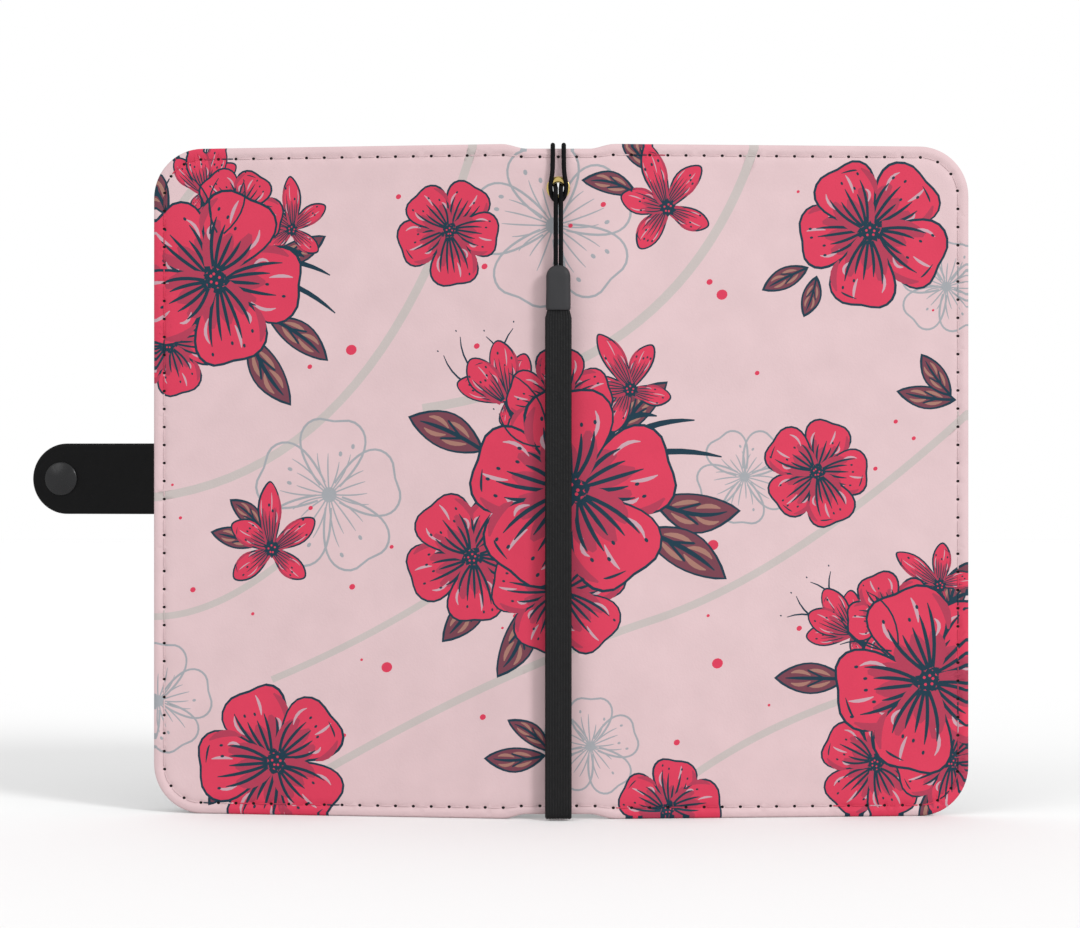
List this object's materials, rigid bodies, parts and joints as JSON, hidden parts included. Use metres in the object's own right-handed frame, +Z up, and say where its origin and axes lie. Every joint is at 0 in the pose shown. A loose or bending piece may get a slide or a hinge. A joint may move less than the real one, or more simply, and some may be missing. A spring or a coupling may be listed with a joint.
{
  "type": "phone case",
  "caption": "Folio wallet phone case of printed leather, with hinged covers, folding closing tab, sliding phone tray, card pockets and a wrist strap.",
  "frame": {"origin": "middle of the box that holds the standing case without its strap, on the surface it stands on", "axes": "+Z up along the spine, -Y towards the printed outer side, +X towards the front cover"},
  "size_m": [0.2088, 0.0279, 0.1481],
  "materials": {
    "printed_leather": "matte grained leather printed with blossoms on pink",
    "board": "grey binder's board",
    "lining": "matte black lining",
    "pocket_leather": "satin black",
    "tab_leather": "matte black grained",
    "cap": "satin black lacquer",
    "steel": "plated",
    "brass": "polished",
    "slide_plastic": "matte",
    "tray_plastic": "satin",
    "cord": "braided cord",
    "crimp": "satin dark grey",
    "webbing": "ribbed webbing"
  },
  "bodies": {
    "spine": {"spine_skin": "printed_leather", "spine_board": "board", "spine_lining": "lining", "back_hinge_leather": "printed_leather", "front_hinge_leather": "printed_leather", "eyelet": "brass", "eyelet_washer": "brass", "cord_hitch": "cord"},
    "back_cover": {"back_skin": "printed_leather", "back_board": "board", "back_lining": "lining", "slide_plate": "slide_plastic", "tab_root": "tab_leather"},
    "front_cover": {"front_skin": "printed_leather", "front_board": "board", "front_lining": "lining", "keeper_plate": "steel", "cash_pocket": "pocket_leather", "card_slot_1": "pocket_leather", "card_slot_2": "pocket_leather", "card_slot_3": "pocket_leather"},
    "tab_bridge": {"tab_bridge": "tab_leather"},
    "tab_flap": {"tab_face": "tab_leather", "tab_backing": "tab_leather", "tab_magnet": "steel", "tab_cap": "cap"},
    "phone_tray": {"phone_tray": "tray_plastic"},
    "wrist_strap": {"strap_cord": "cord", "strap_crimp": "crimp"},
    "strap_loop": {"strap_webbing": "webbing"}
  },
  "joints": [
    {"name": "back_cover_hinge", "type": "hinge", "parent": "spine", "child": "back_cover", "pos_m": [0.00687, -0.01067, 0.074], "axis": [0, 0, -1], "range_deg": [-99, 81]},
    {"name": "front_cover_hinge", "type": "hinge", "parent": "spine", "child": "front_cover", "pos_m": [0.02012, -0.01067, 0.074], "axis": [0, 0, 1], "range_deg": [-95, 85]},
    {"name": "tab_root_fold", "type": "hinge", "parent": "back_cover", "child": "tab_bridge", "pos_m": [-0.07738, 0.00268, 0.0745], "axis": [0, 0, -1], "range_deg": [-45, 90]},
    {"name": "tab_end_fold", "type": "hinge", "parent": "tab_bridge", "child": "tab_flap", "pos_m": [-0.09259, 0.00509, 0.0745], "axis": [0, 0, -1], "range_deg": [-45, 90]},
    {"name": "tray_slide", "type": "slide", "parent": "back_cover", "child": "phone_tray", "axis": [0, 0, 1], "range_m": [0, 0.022]},
    {"name": "strap_swing", "type": "hinge", "parent": "spine", "child": "wrist_strap", "pos_m": [0.0135, -0.01402, 0.13815], "axis": [-1, 0, 0], "range_deg": [0, 100]},
    {"name": "webbing_flex", "type": "hinge", "parent": "wrist_strap", "child": "strap_loop", "pos_m": [0.0135, -0.01402, 0.10985], "axis": [-1, 0, 0], "range_deg": [0, 70]}
  ],
  "couplings": [
    {"joint": "tab_end_fold", "follows": "tab_root_fold", "ratio": 1}
  ]
}
